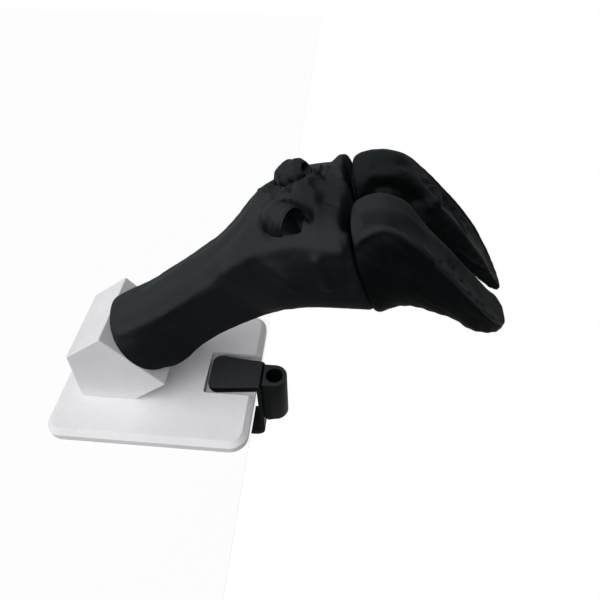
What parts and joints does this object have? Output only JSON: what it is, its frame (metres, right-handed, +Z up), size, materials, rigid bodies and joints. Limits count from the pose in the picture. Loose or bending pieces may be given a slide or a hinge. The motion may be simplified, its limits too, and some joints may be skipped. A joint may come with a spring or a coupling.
{
  "type": "hoof trimming practice leg",
  "caption": "Life-size black cloven hoof and lower leg, sole side up, on a white faceted stand with a base plate and bench clamp, for practising claw trimming.",
  "frame": {"origin": "centre of the base plate's underside", "axes": "+X along the plate towards the toes, +Y across the plate away from the front claw, +Z up"},
  "size_m": [0.312, 0.125, 0.3041],
  "materials": {
    "white_plastic": "satin moulded or printed white plastic",
    "black_print": "satin black printed plastic with fine layer lines",
    "black_satin": "satin black",
    "black_rubber": "matt",
    "zinc_steel": "zinc plated",
    "brass": "plain"
  },
  "bodies": {
    "stand": {"base_plate": "white_plastic", "facet_block": "white_plastic", "block_screw_1": "zinc_steel", "block_screw_2": "zinc_steel", "block_screw_3": "zinc_steel", "block_screw_4": "zinc_steel", "leg_bolt": "zinc_steel", "leg_washer": "zinc_steel"},
    "leg": {"leg": "black_print", "leg_insert": "brass", "dewclaw_front": "black_print", "dewclaw_back": "black_print", "claw_peg_front": "zinc_steel", "claw_peg_back": "zinc_steel"},
    "claw_front": {"claw_front": "black_print", "claw_screw_front": "zinc_steel"},
    "claw_back": {"claw_back": "black_print", "claw_screw_back": "zinc_steel"},
    "clamp": {"clamp_frame": "black_satin", "clamp_socket": "black_satin", "socket_screw_1": "zinc_steel", "socket_screw_2": "zinc_steel", "jaw_pad": "black_rubber"},
    "clamp_pad": {"swivel_pad": "black_satin", "pad_facing": "black_rubber"},
    "clamp_screw": {"clamp_screw": "zinc_steel", "clamp_knob": "black_satin"}
  },
  "joints": [
    {"name": "leg_turn", "type": "hinge", "parent": "stand", "child": "leg", "pos_m": [-0.0049, 0, 0.0559], "axis": [0.8, 0, 0.6], "range_deg": [-90, 90]},
    {"name": "claw_front_pull", "type": "slide", "parent": "leg", "child": "claw_front", "axis": [0.9441, 0, 0.3297], "range_m": [0, 0.045]},
    {"name": "claw_back_pull", "type": "slide", "parent": "leg", "child": "claw_back", "axis": [0.9441, 0, 0.3297], "range_m": [0, 0.045]},
    {"name": "clamp_slide", "type": "slide", "parent": "stand", "child": "clamp", "axis": [1, 0, 0], "range_m": [0, 0.045]},
    {"name": "pad_travel", "type": "slide", "parent": "clamp", "child": "clamp_pad", "axis": [0, 0, 1], "range_m": [-0.018, 0.02]},
    {"name": "screw_turn", "type": "hinge", "parent": "clamp_pad", "child": "clamp_screw", "pos_m": [0.046, 0, -0.025], "axis": [0, 0, 1], "range_deg": [-5184, 5760]}
  ],
  "couplings": [
    {"joint": "screw_turn", "follows": "pad_travel", "rad_per_m": 5026.5}
  ]
}
